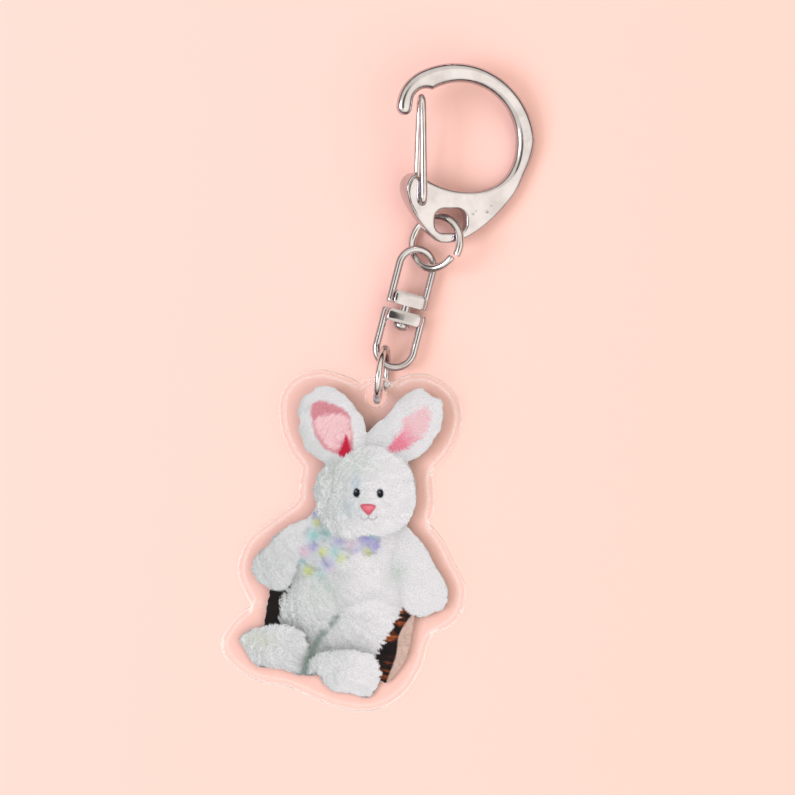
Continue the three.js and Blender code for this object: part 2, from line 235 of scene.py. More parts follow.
# The printed picture: a plush rabbit that sits on a block, in millimetres from the middle of the charm's hole.
pictureShapes = {
    "leftEar": [
        (-8.9, -11.5), (-11, -10.1), (-12.2, -8.9), (-13, -7.1), (-13.5, -5.1), (-13.4, -2.4), (-12.6, 0),
        (-11.2, 0.9), (-10.1, 1.8), (-8, 1.9), (-6.2, 0.9), (-4.7, -0.3), (-3.5, -2), (-2.4, -3.3),
        (-1.9, -4.9), (-1.6, -6.4), (-2.4, -9.4), (-5.5, -11.6)],
    "rightEar": [
        (-1.9, -7.6), (-0.9, -5.6), (0.4, -4.2), (1.7, -3.5), (2.8, -2), (3.7, -0.6), (5.5, 0.7), (7.5, 1.5),
        (8.8, 0.9), (10, 0), (11.4, -0.9), (11.6, -2.6), (11.1, -5.9), (9.7, -8), (8.5, -9.5), (6.4, -10.9),
        (4.2, -12), (-0.5, -10.6)],
    "leftEarLining": [
        (-11.3, -2.1), (-10.6, -1), (-8.9, -0.7), (-6.6, -1.5), (-4.9, -2.7), (-4.3, -4.6), (-4, -7.5),
        (-4.1, -10.6), (-6.5, -10), (-8.9, -8.9), (-10.3, -7.1), (-11.1, -4.2)],
    "leftEarGlow": [
        (-10.6, -4.2), (-8.6, -2.8), (-6, -2.9), (-4.7, -3.9), (-4.3, -5.6), (-4.6, -7.6), (-6, -7.8),
        (-6.5, -9.2), (-8.2, -8.8), (-10, -6.9)],
    "leftEarRed": [(-5.3, -6.3), (-4.5, -8.1), (-4.1, -10.6), (-6.8, -9.9), (-5.9, -8.2)],
    "rightEarLining": [
        (8.7, -1.4), (9.6, -2.6), (9.3, -5), (8.1, -7.1), (6, -8.7), (2.5, -9.8), (1.9, -9.3), (2.9, -7.5),
        (4.4, -5.6), (4.8, -4), (6.4, -2.3)],
    "head": [
        (-10, -12.4), (-10.9, -16.2), (-10.4, -19.9), (-8.9, -22.6), (-6.8, -24.2), (-4.3, -24.7),
        (-1.9, -24), (1.5, -24.2), (5.4, -22.2), (6.8, -19), (6.9, -16.6), (6.3, -13.3), (5.3, -11.4),
        (2.3, -9.3), (-0.6, -8.3), (-3.5, -8.9), (-6, -10.6), (-8.5, -11.5)],
    "torso": [
        (-12.2, -21.4), (-6, -21.4), (-0.2, -21.4), (5.4, -22), (6.4, -26.9), (5.6, -33.1), (4.3, -37.2),
        (2.7, -39.3), (-2.7, -40.1), (-7.6, -39.3), (-11.8, -40.5), (-15.5, -37.2), (-14.9, -33.1),
        (-13.6, -29)],
    "leftArm": [
        (-10.4, -18.6), (-11.6, -20.7), (-13.4, -21.6), (-15.5, -22.5), (-18.9, -25.8), (-21.3, -28.2),
        (-21.7, -30), (-20.5, -32.4), (-18.2, -33.6), (-16, -33.6), (-14.7, -32.3), (-13.7, -29),
        (-12.4, -26.1), (-10.6, -22.8)],
    "rightArm": [
        (5.4, -21.6), (8.2, -25.5), (10, -28.9), (11.8, -31.7), (12.5, -34.9), (11.4, -37), (8.5, -38.3),
        (6.6, -38.1), (4.8, -36.6), (3.9, -33.1), (2.7, -29.8), (3.3, -25.7)],
    "leftLeg": [
        (-14.7, -32.3), (-10.9, -31.4), (-7.6, -34.7), (-7, -38.3), (-8.5, -40.5), (-10.9, -43.8),
        (-12.4, -45.5), (-15.5, -43.4), (-16.9, -39.3), (-16.5, -35.6)],
    "rightLeg": [
        (-7.2, -38.5), (-4.3, -36.2), (0.6, -35.2), (4.3, -36.9), (3, -39.7), (1.5, -42.8), (-0.6, -45.3),
        (-2.7, -46.7), (-7.6, -46.7), (-10.9, -45.5), (-9.7, -41.8)],
    "leftFoot": [
        (-24, -42.4), (-23.1, -41.3), (-21.3, -40.2), (-19.2, -39.7), (-16.3, -39.5), (-13.4, -40.5),
        (-11.8, -43), (-12, -45.9), (-12.5, -48.7), (-14.9, -48.2), (-18.6, -47.3), (-21.6, -46.3),
        (-23.1, -44.2)],
    "rightFoot": [
        (-10.9, -45.1), (-8.5, -44.2), (-4.3, -44), (-0.6, -45.1), (0.7, -47.1), (0.5, -49.7), (-0.8, -52),
        (-2, -52.4), (-5, -51.7), (-7.4, -51.4), (-9, -50.1), (-10.5, -48.2), (-12.4, -48.4),
        (-12, -46.3)],
    "blockLeft": [(-20, -32.4), (-14.6, -32.2), (-15, -36), (-16, -40.4), (-20.4, -40.8)],
    "blockRight": [
        (-1.5, -37.5), (7.6, -37.2), (7.6, -41), (6, -46), (2.2, -50.8), (0.2, -49.4), (-2.5, -45)],
    "blockSide": [
        (6.9, -37.6), (5.5, -45.1), (2.3, -50), (1.7, -49.8), (3.4, -45.1), (3.9, -41.6), (5.4, -38.9)],
    "bow": [
        (-12.4, -22.9), (-10.9, -19.9), (-9.6, -21.6), (-7.2, -24.2), (-4.3, -24.4), (-2.7, -23.6),
        (0, -22.8), (0.7, -26.1), (-1, -27.8), (-2.7, -26.9), (-6, -29), (-8.5, -31), (-12.4, -31.4),
        (-13.6, -29), (-13.2, -25.7)],
    "legSplit": [
        (-7, -38.2), (-8.9, -40.5), (-10.9, -43.4), (-12, -45.5), (-12.6, -48.4), (-12.55, -48.4),
        (-11.9, -45.5), (-10.8, -43.4), (-8.8, -40.5)],
    "knot": [
        (-3, -24.8), (-2.3, -23.4), (0.1, -23.1), (0.6, -24.8), (0.2, -26.4), (-1.9, -27.8), (-2.7, -26.9)],
    "nose": [
        (-2.8, -18.9), (-2.4, -18.6), (-1.4, -18.5), (-0.3, -18.7), (-0.1, -19.1), (-0.7, -20), (-1.3, -20.5),
        (-1.9, -20.1)],
}
pictureInks = {
    "furLight": (229, 226, 233), "furMiddle": (218, 217, 223), "furShade": (198, 201, 205),
    "furDeep": (128, 143, 140), "legSplit": (112, 128, 122),
    "liningEdge": (212, 138, 150), "liningGlow": (244, 205, 213), "liningRed": (196, 28, 62),
    "liningPale": (238, 188, 198), "liningRose": (234, 112, 140),
    "nose": (226, 104, 122), "noseRim": (190, 84, 100), "noseGleam": (246, 160, 172),
    "stitch": (150, 148, 160), "eye": (8, 12, 22), "eyeRim": (150, 160, 170), "eyeGleam": (210, 220, 235),
    "blockDark": (24, 14, 16), "blockRed": (128, 58, 30), "blockAmber": (176, 96, 54),
    "blockSide": (208, 178, 168),
    "cloth": (206, 212, 222), "knot": (184, 184, 214),
    "lilac": (164, 158, 212), "teal": (142, 200, 200), "lime": (206, 214, 140), "pink": (226, 178, 206),
}
# Each spot of the bow's cloth: place, how far it spreads, ink and strength.
bowSpots = [
    (-10.4, -20.4, 0.7, "lilac", 0.8), (-10.3, -21.7, 0.55, "lime", 0.8), (-10.9, -24.0, 0.8, "teal", 0.7),
    (-12.6, -26.9, 0.9, "pink", 0.6), (-9.3, -26.9, 0.6, "lime", 0.8), (-8.5, -29.0, 0.9, "lilac", 0.55),
    (-11.8, -30.2, 0.7, "lime", 0.9), (-6.0, -28.1, 0.7, "lime", 0.6), (-6.4, -24.9, 0.9, "lilac", 0.6),
    (-4.3, -25.6, 0.8, "pink", 0.4), (-1.6, -24.4, 1.0, "lilac", 1.0), (-0.5, -23.6, 0.7, "teal", 0.9),
    (-1.6, -27.1, 0.65, "lime", 0.9), (0.0, -25.9, 0.8, "lilac", 0.8), (-9.7, -31.2, 0.8, "teal", 0.4),
    (-10.9, -26.0, 0.7, "lilac", 0.6), (-7.2, -26.9, 0.7, "teal", 0.5), (-13.0, -28.6, 0.7, "teal", 0.4),
    (-3.5, -26.7, 0.6, "lilac", 0.4), (-8.6, -23.4, 0.8, "teal", 0.6), (-7.4, -30.4, 0.6, "pink", 0.5),
]
# Soft hollows of the fur: place, width, height, ink and strength.
furHollows = [
    ((-4.6, -19.4), 1.9, 1.6, (176, 190, 200), 0.55), ((-2.4, -12.2), 3.2, 2.0, (190, 202, 198), 0.5),
    ((-7.6, -13.6), 2.4, 1.8, (184, 194, 190), 0.5), ((3.9, -30.4), 1.4, 2.2, (176, 192, 186), 0.6),
    ((-9.5, -34.0), 3.6, 3.0, (186, 200, 196), 0.5), ((-3.5, -14.8), 0.8, 1.4, (160, 182, 200), 0.55),
    ((-20.2, -42.4), 2.2, 1.3, (196, 200, 176), 0.5),
]


def smoothRun(points, perSpan, closed=False, power=0.0):
    # A Catmull-Rom curve: each span is the cubic whose end slopes come from the neighbouring points,
    # spaced by their distance to the given power.
    p = np.asarray(points, float)
    if closed:
        p = np.vstack([p[-1], p, p[0], p[1]])
    elif power:
        p = np.vstack([2 * p[0] - p[1], p, 2 * p[-1] - p[-2]])
    else:
        p = np.vstack([p[0], p, p[-1]])
    step = np.ones(len(p) - 1) if not power else np.linalg.norm(np.diff(p, axis=0), axis=1) ** power
    a, b, c, d = p[:-3, None], p[1:-2, None], p[2:-1, None], p[3:, None]
    s0, s1, s2 = (step[i:len(p) - 3 + i, None, None] for i in range(3))
    slopeB = ((b - a) / s0 - (c - a) / (s0 + s1) + (c - b) / s1) * s1
    slopeC = ((c - b) / s1 - (d - b) / (s1 + s2) + (d - c) / s2) * s1
    t = np.linspace(0, 1, perSpan, endpoint=False)[None, :, None]
    run = (b + slopeB * t + (3 * (c - b) - 2 * slopeB - slopeC) * t**2
           + (2 * (b - c) + slopeB + slopeC) * t**3).reshape(-1, p.shape[1])
    return run if closed else np.vstack([run, p[-2]])


def distanceInside(points, loops):
    # How far each point is from the nearest side of the loops: more than nothing inside, less outside.
    starts = np.vstack(loops)
    sides = np.vstack([np.roll(loop, -1, axis=0) - loop for loop in loops])
    lengths = np.maximum((sides**2).sum(1), 1e-12)
    result = np.empty(len(points))
    for block in range(0, len(points), 3000):
        away = points[block:block + 3000, None] - starts[None]
        along = np.clip((away * sides).sum(2) / lengths, 0, 1)
        gap = np.sqrt(((away - along[..., None] * sides) ** 2).sum(2).min(1))
        below = away[..., 1] < 0
        belowEnd = away[..., 1] - sides[:, 1] < 0
        height = np.where(np.abs(sides[:, 1]) < 1e-12, 1e-12, sides[:, 1])
        crossing = (below != belowEnd) & (away[..., 0] < away[..., 1] / height * sides[:, 0])
        result[block:block + 3000] = np.where(crossing.sum(1) % 2 == 1, gap, -gap)
    return result


def softNoise(x, y, seed):
    # Random values at whole-number places, blended between them by an S-shaped step. From -1 to 1.
    table = np.random.default_rng(seed).uniform(-1, 1, (256, 256))
    cellX, cellY = np.floor(x).astype(int), np.floor(y).astype(int)
    shareX, shareY = x - cellX, y - cellY
    shareX, shareY = (s * s * (3 - 2 * s) for s in (shareX, shareY))
    corner = [table[(cellX + i) % 256, (cellY + j) % 256] for i in (0, 1) for j in (0, 1)]
    low = corner[0] * (1 - shareX) + corner[2] * shareX
    high = corner[1] * (1 - shareX) + corner[3] * shareX
    return low * (1 - shareY) + high * shareY


def furStreaks(x, y, root, long, wide, seed):
    # Noise round a root: its rays are long outwards and narrow across, and curl a little.
    curlX = x + 0.5 * softNoise(x * 0.9, y * 0.9, seed + 50)
    curlY = y + 0.5 * softNoise(x * 0.9, y * 0.9, seed + 51)
    out = np.hypot(curlX - root[0], curlY - root[1])
    around = np.arctan2(curlY - root[1], curlX - root[0]) * np.maximum(out, 2.5)
    return 0.65 * softNoise(around / wide, out / long, seed) + 0.35 * softNoise(
        around / wide * 2.1, out / long * 1.7, seed + 1)


def softStep(low, high, value):
    # 0 below low, 1 above high, and an S-shaped rise between.
    share = np.clip((value - low) / (high - low), 0, 1)
    return share * share * (3 - 2 * share)


def spot(x, y, place, wide, tall):
    # 1 at its place, falling off with the square of the distance in widths and heights.
    return np.exp(-((x - place[0]) / wide) ** 2 - ((y - place[1]) / tall) ** 2)


def lay(colour, ink, share):
    # Moves the colours, where they stand, towards an ink by a share from 0 to 1.
    target = np.asarray(pictureInks[ink] if isinstance(ink, str) else ink, float)
    colour += (target - colour) * np.asarray(share)[..., None]
    return colour


# Each furry part: where its fur grows from, how it leans from shade to light (x, y, middle),
# its lightest and darkest inks, how strong the strands are, how ragged its edge is and the shadow it throws.
furParts = [
    ("torso", (-3.0, -24.0), (0.13, 0.02, 0.66), "furLight", "furShade", 15, 0.25, 0.0),
    ("leftLeg", (-8.0, -33.0), (0.10, 0.05, 0.36), "furMiddle", "furShade", 32, 0.9, 0.05),
    ("rightLeg", (-2.0, -36.0), (0.10, 0.02, 0.66), "furLight", "furShade", 22, 0.9, 0.04),
    ("leftArm", (-12.5, -23.0), (0.08, 0.05, 0.60), "furMiddle", "furShade", 20, 0.30, 0.16),
    ("rightArm", (3.5, -24.0), (0.10, 0.0, 0.80), "furLight", "furMiddle", 7, 0.22, 0.05),
    ("leftFoot", (-15.5, -43.0), (0.06, 0.03, 0.55), "furMiddle", "furShade", 30, 0.50, 0.34),
    ("rightFoot", (-5.0, -47.0), (0.10, -0.02, 0.66), "furLight", "furShade", 20, 0.50, 0.30),
    ("leftEar", (-7.0, -9.0), (0.05, 0.02, 0.70), "furLight", "furShade", 10, 0.30, 0.0),
    ("rightEar", (3.5, -8.0), (0.10, 0.02, 0.72), "furLight", "furMiddle", 8, 0.30, 0.0),
    ("head", (-2.6, -17.6), (0.12, -0.02, 0.70), "furLight", "furShade", 28, 0.5, 0.10),
]


def paintPicture(x, y):
    # Lays the picture down from the back to the front, as values from 0 to 255 for red, green and blue.
    points = np.stack([x, y], axis=1)

    def within(name, perSpan=6):
        return distanceInside(points, [smoothRun(pictureShapes[name], perSpan, closed=True)])

    colour = np.zeros((len(x), 3)) + pictureInks["furShade"]
    paintBlock(colour, x, y, within)
    for count, (name, root, lean, light, shade, strand, ragged, shadow) in enumerate(furParts):
        seed = 20 + 4 * count
        inside = within(name)
        fur = furStreaks(x, y, root, 1.5, 0.34, seed)
        middle = np.mean(pictureShapes[name], axis=0)
        lit = np.clip((x - middle[0]) * lean[0] + (y - middle[1]) * lean[1] + lean[2], 0, 1)
        clumps = softNoise(x * 0.55, y * 0.55, seed + 2)
        own = lay(np.zeros((len(x), 3)) + pictureInks[shade], light, np.clip(lit + 0.22 * clumps, 0, 1))
        hairs = fur + 0.45 * softNoise(x / 0.21, y / 0.21, seed + 3)
        own += ((strand * (1.25 - 0.9 * lit)) * hairs)[:, None]
        lay(own, "furDeep", 0.20 * np.exp(-np.maximum(inside, 0) / 0.35) * (1 - 0.6 * lit))
        colour *= (1 - shadow * np.exp(-np.maximum(-inside, 0) / 1.1))[:, None]
        cover = softStep(-0.14, 0.14, inside + ragged * fur)
        lay(colour, own, cover)
        if name == "leftArm":
            paintBow(colour, x, y, within)
        if name == "leftEar":
            lay(colour, "liningEdge", softStep(-0.25, 0.35, within("leftEarLining") + 0.35 * fur))
            glow = softStep(-0.35, 0.55, within("leftEarGlow") + 0.5 * fur)
            lay(colour, "liningGlow", glow * (0.84 + 0.3 * fur))
            lay(colour, "liningRed", softStep(-0.1, 0.5, within("leftEarRed") + 0.3 * fur))
        if name == "rightEar":
            lining = softStep(-0.35, 0.6, within("rightEarLining") + 0.6 * fur)
            deep = softStep(8.0, 2.0, x + 0.9 * (y + 6))
            rose = lay(np.zeros((len(x), 3)) + pictureInks["liningPale"], "liningRose", deep)
            lay(colour, rose, lining * (0.82 + 0.2 * fur))
    for place, wide, tall, ink, share in furHollows:
        mottled = 0.8 + 0.5 * softNoise(x * 2, y * 2, 9)
        lay(colour, ink, share * spot(x, y, place, wide, tall) * mottled)
    broken = np.clip(0.55 + 0.9 * softNoise(x * 0.8, y * 0.8, 10) + 0.3 * softNoise(x * 3, y * 3, 11), 0, 1)
    dark = np.exp(-(within("legSplit", 5) / (0.3 + 0.4 * broken)) ** 2)
    lay(colour, "legSplit", 0.75 * broken * dark)
    paintFace(colour, x, y, within)
    return np.clip(colour, 0, 255)


def paintBlock(colour, x, y, within):
    # The block behind the rabbit: near black, with ragged red-brown stripes on its right.
    block = softStep(-0.2, 0.2, np.maximum(within("blockLeft"), within("blockRight")))
    lay(colour, "blockDark", block)
    stripes = softNoise(x * 0.5, (y + 0.25 * x) * 2.2, 5) + 0.5 * softNoise(x * 2, y * 6, 6)
    striped = softStep(-2, 1, x) * (1 - softStep(0.2, 0.7, 1 - np.abs(y + 44.6 - 0.25 * x) / 2.4)) * block
    lay(colour, "blockRed", softStep(-0.35, 0.45, stripes) * striped)
    lay(colour, "blockAmber", softStep(0.55, 0.9, stripes) * striped)
    side = within("blockSide")
    lay(colour, "blockSide", softStep(-0.1, 0.15, side))
    colour += (12 * softNoise(x * 2, y * 3, 7) * (side > 0))[:, None]


def paintBow(colour, x, y, within):
    # The bow's thin cloth, spotted with soft pastel dots, and its knot.
    cloth = softStep(-0.3, 0.5, within("bow") + 0.3 * softNoise(x * 1.5, y * 1.5, 12))
    lay(colour, "cloth", 0.55 * cloth)
    lay(colour, "knot", 0.6 * softStep(-0.2, 0.3, within("knot")))
    for spotX, spotY, spread, ink, share in bowSpots:
        dot = spot(x, y, (spotX, spotY), 1.25 * spread, 1.25 * spread)
        lay(colour, ink, min(1.0, 1.1 * share) * dot * np.maximum(cloth, 0.35))
    fold = softNoise(x * 1.1 + y * 0.6, y * 1.4, 13)
    colour *= (1 - 0.10 * cloth * softStep(0.1, 0.8, fold))[:, None]


def paintFace(colour, x, y, within):
    # Two bead eyes, a nose with a gleam, and the stitches of the mouth: a short line over two arcs.
    for eyeX, eyeY in ((-3.4, -16.6), (0.7, -16.7)):
        bead = np.hypot((x - eyeX) / 0.54, (y - eyeY) / 0.74)
        lay(colour, "eyeRim", 0.35 * np.exp(-(np.maximum(bead - 1, 0) / 0.3) ** 2))
        lay(colour, "eye", softStep(1.15, 0.95, bead))
        lay(colour, "eyeGleam", 0.7 * spot(x, y, (eyeX - 0.12, eyeY + 0.22), 0.17, 0.17))
    nose = within("nose")
    lay(colour, "noseRim", softStep(-0.12, 0.12, nose))
    lay(colour, "nose", softStep(0.1, 0.45, nose))
    lay(colour, "noseGleam", 0.6 * spot(x, y, (-1.2, -19.2), 0.8, 0.35))
    stitch = np.minimum(
        np.hypot(x + 1.3, np.maximum(np.abs(y + 20.8) - 0.25, 0)),
        np.abs(np.hypot(np.abs(x + 1.33) - 0.72, y + 20.6) - 0.68) + 5 * (y > -20.7))
    lay(colour, "stitch", 0.6 * np.exp(-(stitch / 0.13) ** 2))


def turned(axis, angle):
    # The matrix of a right-hand turn about x, y or z, in degrees.
    c, s = math.cos(math.radians(angle)), math.sin(math.radians(angle))
    return np.array({"x": [[1, 0, 0], [0, c, -s], [0, s, c]], "y": [[c, 0, s], [0, 1, 0], [-s, 0, c]],
                     "z": [[c, -s, 0], [s, c, 0], [0, 0, 1]]}[axis])


def evenly(loop, spacing, closed=True):
    # The same line, with points the same distance apart along it.
    p = np.vstack([loop, loop[:1]]) if closed else np.asarray(loop, float)
    along = np.concatenate([[0], np.cumsum(np.linalg.norm(np.diff(p, axis=0), axis=1))])
    places = np.linspace(0, along[-1], max(8, int(round(along[-1] / spacing))) + 1)
    result = np.stack([np.interp(places, along, p[:, i]) for i in range(p.shape[1])], axis=1)
    return result[:-1] if closed else result


def bulgedLoop(bulges):
    # A closed outline of smooth bulges, each ending where the next begins. The dips between them are
    # rounded a little, by taking the mean of each point and its neighbours.
    ends = [bulge[0] for bulge in bulges[1:] + bulges[:1]]
    loop = evenly(np.vstack([smoothRun([*bulge, end], 12)[:-1] for bulge, end in zip(bulges, ends)]), 0.1)
    return np.mean([np.roll(loop, shift, axis=0) for shift in range(-4, 5)], axis=0)


def normals(loop):
    # At each point of a closed line, the unit vector square to it on its left.
    forward = np.roll(loop, -1, axis=0) - np.roll(loop, 1, axis=0)
    return np.column_stack([-forward[:, 1], forward[:, 0]]) / np.linalg.norm(forward, axis=1)[:, None]


def gridFaces(rows, columns, closeRows=False, closeColumns=True):
    # The squares of a rows by columns grid of points, joined round where asked.
    row = np.arange(rows if closeRows else rows - 1)[:, None]
    column = np.arange(columns if closeColumns else columns - 1)[None]
    nextRow, nextColumn = (row + 1) % rows, (column + 1) % columns
    corners = [row * columns + column, row * columns + nextColumn,
               nextRow * columns + nextColumn, nextRow * columns + column]
    return np.stack(np.broadcast_arrays(*corners), axis=-1).reshape(-1, 4)


class Shell:
    # Points in a piece's own millimetres and the faces between them, gathered part by part.
    def __init__(self):
        self.points, self.faces, self.count = [], [], 0

    def add(self, points, *faceSets):
        self.points.append(np.asarray(points, float))
        for faces in faceSets:
            self.faces += (np.asarray(faces) + self.count).tolist()
        self.count += len(points)
        return self

    def tube(self, points, sides):
        # Rings of points, one after the other, with a flat face at each end.
        last = len(points) - sides
        return self.add(points, gridFaces(len(points) // sides, sides),
                        [list(range(sides))[::-1]], [list(range(last, last + sides))])

    def sweep(self, path, radius, side, flatten=1.0, sides=20):
        # A round section carried along a path. Its frame is the path's direction, a fixed side vector
        # made square to it, and the third direction square to both. Both ends are closed by a flat face.
        path = np.asarray(path, float)
        forward = np.gradient(path, axis=0)
        forward /= np.linalg.norm(forward, axis=1)[:, None]
        across = np.asarray(side, float) - (forward @ np.asarray(side, float))[:, None] * forward
        across /= np.linalg.norm(across, axis=1)[:, None]
        third = np.cross(forward, across)
        angle = np.linspace(0, 2 * np.pi, sides, endpoint=False)[None, :, None]
        radius, flatten = (np.broadcast_to(value, len(path))[:, None, None] for value in (radius, flatten))
        points = (path[:, None] + radius * (np.cos(angle) * flatten * across[:, None]
                                            + np.sin(angle) * third[:, None])).reshape(-1, 3)
        return self.tube(points, sides)

    def revolve(self, profile, sides=40):
        # A profile of (radius, height) points carried round the y axis; its ends lie on the axis.
        radius, height = np.asarray(profile, float).T
        angle = np.linspace(0, 2 * np.pi, sides, endpoint=False)[None]
        ring = np.stack([radius[1:-1, None] * np.cos(angle), height[1:-1, None] + 0 * angle,
                         -radius[1:-1, None] * np.sin(angle)], axis=-1).reshape(-1, 3)
        ends = [[0, height[0], 0], [0, height[-1], 0]]
        rows, start = len(radius) - 2, np.arange(sides)
        following = (start + 1) % sides
        low = np.stack([following, start, np.full(sides, len(ring))], axis=1)
        top = (rows - 1) * sides
        high = np.stack([top + start, top + following, np.full(sides, len(ring) + 1)], axis=1)
        return self.add(np.vstack([ring, ends]), gridFaces(rows, sides), low, high)

    def loft(self, section, heights, scales):
        # A closed section in x and z carried along y, shrunk a little towards its ends.
        section = np.asarray(section, float)
        points = np.vstack([np.stack([section[:, 0] * s, np.full(len(section), y), section[:, 1] * s], axis=1)
                            for y, s in zip(heights, scales)])
        return self.tube(points, len(section))

    def plate(self, loops, half, rim, wall, spacing, fill, middle=0.0,
              rows=(0.03, 0.1, 0.2, 0.33, 0.48, 0.64, 0.82, 1.0), squareness=None):
        # A flat plate with rounded edges. Its half thickness rises from wall at the outline to half at
        # rim inside it, along a quarter of an ellipse. Squareness, from 0 to 1, narrows that rounding.
        loops = [evenly(loop, spacing) for loop in loops]
        flat, triangles, inside = filledLoops(loops, [rim * r for r in rows], fill)
        if squareness:
            square = squareness(flat)
            rim, wall = rim * (1 - 0.6 * square), wall + (0.72 * half - wall) * square
        lift = wall + (half - wall) * np.sqrt(1 - (1 - np.clip(inside, 0, rim) / rim) ** 2)
        return self.layers(flat, triangles, middle + lift, middle - lift)

    def layers(self, flat, triangles, high, low):
        # An upper and a lower sheet over the same triangles, with a wall round every open edge.
        count = len(flat)
        points = np.vstack([np.column_stack([flat, np.broadcast_to(high, count)]),
                            np.column_stack([flat, np.broadcast_to(low, count)])])
        sides = np.vstack([triangles[:, [0, 1]], triangles[:, [1, 2]], triangles[:, [2, 0]]])
        key = np.sort(sides, axis=1) @ [count, 1]
        once = np.isin(key, [k for k, n in zip(*np.unique(key, return_counts=True)) if n == 1])
        edge = sides[once]
        walls = np.stack([edge[:, 0], edge[:, 0] + count, edge[:, 1] + count, edge[:, 1]], axis=1)
        return self.add(points, triangles, triangles[:, ::-1] + count, walls)

    def build(self, name, at, turns, material, body, slot, node, sharp=None):
        # Lays the points where the piece is, in metres, and hands the piece to its body.
        points = np.vstack(self.points)
        for turn in turns:
            points = points @ turn.T
        points = (points + at + chainShift) * millimetre
        mesh = bpy.data.meshes.new(name)
        mesh.from_pydata(points.tolist(), [], self.faces)
        mesh.polygons.foreach_set("use_smooth", [True] * len(mesh.polygons))
        if sharp:
            mesh.set_sharp_from_angle(angle=math.radians(sharp))
        mesh.materials.append(material)
        piece = newObject(name, mesh)
        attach(piece, body)
        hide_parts(node)
        print(f"{name}: {len(mesh.polygons)} faces")
        return piece


def filledLoops(loops, rows, fill):
    # Triangles that fill the loops: points on the loops, rows of points at set distances inside them,
    # and an even grid beyond the last row. Gives the points, the triangles and each point's distance inside.
    edge = np.vstack(loops)
    inward = np.vstack([normals(loop) for loop in loops])
    coarse = [evenly(loop, max(0.3, fill * 0.3)) for loop in loops]
    inward *= np.sign(distanceInside(edge + 0.05 * inward, coarse))[:, None]
    found = [edge + inward * row for row in rows]
    kept = [p[distanceInside(p, coarse) > row * 0.96 - 0.01] for p, row in zip(found, rows)]
    low, high = edge.min(0), edge.max(0)
    grid = np.stack(np.meshgrid(np.arange(low[0], high[0], fill), np.arange(low[1], high[1], fill)), axis=-1)
    grid[1::2, :, 0] += fill / 2
    grid = grid.reshape(-1, 2)
    kept.append(grid[distanceInside(grid, coarse) > (rows[-1] if rows else 0) + fill * 0.45])
    inner = np.vstack(kept)
    inner = inner[np.unique(np.round(inner / 0.07).astype(int), axis=0, return_index=True)[1]]
    flat = np.vstack([edge, inner])
    starts = np.cumsum([0] + [len(loop) for loop in loops])
    constraints = [(a + i, a + (i + 1) % (b - a)) for a, b in zip(starts, starts[1:]) for i in range(b - a)]
    made = delaunay_2d_cdt([Vector(p) for p in flat.tolist()], constraints, [], 0, 1e-6)
    flat, triangles = np.array([tuple(v) for v in made[0]]), np.array(made[2])
    triangles = triangles[distanceInside(flat[triangles].mean(1), loops) > 0]
    a, b, c = (flat[triangles[:, i]] for i in range(3))
    area = (b - a)[:, 0] * (c - a)[:, 1] - (b - a)[:, 1] * (c - a)[:, 0]
    triangles = np.where((area < 0)[:, None], triangles[:, ::-1], triangles)
    return flat, triangles, np.maximum(distanceInside(flat, loops), 0)


# The charm. Every link's place is in millimetres from the middle of the charm's hole, at floor level.
charm = {
    "at": (0, 0, 2.3), "tilt": 2.4, "hole": 3.6, "top": 3.08, "filmTop": 0.3, "plateBottom": 0.34,
    "whiteLow": 0.38, "whiteHigh": 0.44, "inkLow": 0.5, "inkHigh": 0.56, "polish": 0.3,
    # the rows of the edge's rounding, then the width of the painted light lines along the cut edge and how far
    # inside it the fainter painted line lies
    "edgeRows": (0.05, 0.12, 0.2, 0.3, 0.5, 0.85, 1.0, 1.15, 1.6), "edgeLineWidth": 0.18, "innerLineInset": 1.0,
    "edgeBulges": [
        [(-12.9, -12.2), (-14.9, -9.4), (-16.6, -4.9), (-16.5, 0.4), (-13.8, 3.7), (-9.5, 4.8), (-5.2, 3.7)],
        [(-2.9, 2.6), (-1.6, 3.3), (0, 3.5), (1.6, 3.2)],
        [(2.8, 2.5), (5.5, 3.9), (9.4, 3.8), (13.5, 1.0), (14.9, -3.5), (13.5, -8.5), (10.9, -11.9)],
        [(9.8, -12.8), (9.9, -15.0), (10.1, -17.5), (9.8, -20.2)],
        [(9.3, -22.0), (11.4, -24.4), (13.6, -28.7), (15.5, -32.8), (14.9, -37.5), (12.4, -40.2)],
        [(10.1, -41.0), (8.9, -43.4), (7.7, -47.4), (4.7, -51.8), (0.2, -54.4), (-5.0, -54.5), (-10.0, -52.8),
         (-15.4, -50.5), (-20.9, -49.3), (-25.3, -46.4), (-27.0, -42.6), (-24.6, -38.5)],
        [(-21.6, -36.1), (-23.0, -33.5), (-24.1, -29.8), (-22.4, -24.8), (-18.4, -21.3), (-13.8, -17.8),
         (-13.4, -15.1)],
    ],
}
charmTurns = [turned("x", charm["tilt"])]
charmEdge = bulgedLoop(charm["edgeBulges"])


# The whole chain is moved so that the box of the charm's outline agrees with that of the CAD film.
corners = np.column_stack([charmEdge, np.zeros(len(charmEdge))]) @ charmTurns[0].T + charm["at"]
low, high = (np.array(corner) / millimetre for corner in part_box("charm_back_film"))
chainShift = ((low - corners.min(0)) + (high - corners.max(0))) / 2
chainShift[2] = low[2] - corners[:, 2].min()
print("chain laid at", chainShift.round(3))

